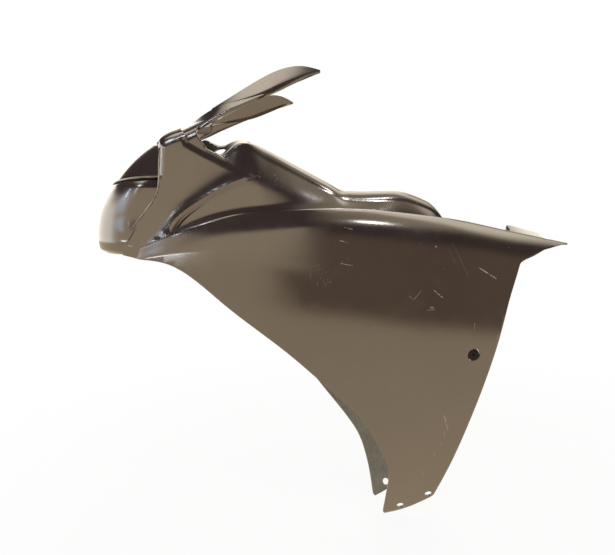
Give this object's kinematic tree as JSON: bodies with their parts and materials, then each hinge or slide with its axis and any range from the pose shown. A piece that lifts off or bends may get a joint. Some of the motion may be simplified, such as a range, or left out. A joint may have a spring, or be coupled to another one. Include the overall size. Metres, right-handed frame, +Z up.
{
  "type": "motorcycle fairing",
  "caption": "Glossy black one-piece upper fairing with rounded nose, screen arms, hand cut-outs and deep side panels tapering to drilled bottom tips.",
  "frame": {"origin": "midpoint between the two side fixing holes, on the middle plane", "axes": "+X to the rear, +Y to the right side, +Z up"},
  "size_m": [0.8246, 0.4442, 0.8567],
  "materials": {
    "gel_coat": "glossy black gel coat with light scratches, rough laminate inside"
  },
  "bodies": {
    "root": {"fairing_shell": "gel_coat"}
  },
  "joints": []
}
